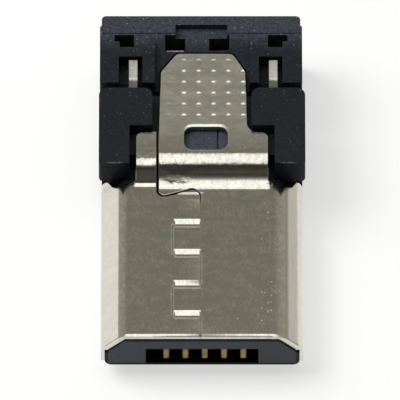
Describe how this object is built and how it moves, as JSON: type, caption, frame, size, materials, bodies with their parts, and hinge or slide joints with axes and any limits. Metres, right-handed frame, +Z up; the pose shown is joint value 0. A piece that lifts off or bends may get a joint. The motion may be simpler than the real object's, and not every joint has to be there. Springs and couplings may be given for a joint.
{
  "type": "micro-b plug",
  "caption": "Bare solder-type micro-B plug: folded metal shell with a meander seam and tail tab, black moulded body and rear block, gold contacts and latch springs.",
  "frame": {"origin": "middle of the underside of the whole plug, on the plane that the rear moulding stands on", "axes": "+Y from the mating face to the rear, +Z up to the side with the seam, +X to the right seen from the mating face"},
  "size_m": [0.007, 0.013, 0.0029],
  "materials": {
    "nickel_plated_sheet": "bright nickel plate over stamped sheet, finely scuffed",
    "spring_steel": "plain stamped spring steel",
    "gold_plated_strip": "thin gold plate over copper alloy",
    "black_moulding": "black glass-filled moulding, finely grained"
  },
  "bodies": {
    "body": {"shell": "nickel_plated_sheet", "main_insulator": "black_moulding", "rear_housing": "black_moulding", "contact_1": "gold_plated_strip", "contact_2": "gold_plated_strip", "contact_3": "gold_plated_strip", "contact_4": "gold_plated_strip", "contact_5": "gold_plated_strip"},
    "left_latch": {"latch_spring_left": "spring_steel"},
    "right_latch": {"latch_spring_right": "spring_steel"}
  },
  "joints": [
    {"name": "left_latch_press", "type": "hinge", "parent": "body", "child": "left_latch", "pos_m": [-0.00234, 0.00355, 0.0022], "axis": [-1, 0, 0], "range_deg": [0, 2.4], "stiffness_Nm_per_rad": 0.1},
    {"name": "right_latch_press", "type": "hinge", "parent": "body", "child": "right_latch", "pos_m": [0.00242, 0.00355, 0.0022], "axis": [-1, 0, 0], "range_deg": [0, 2.4], "stiffness_Nm_per_rad": 0.1}
  ]
}
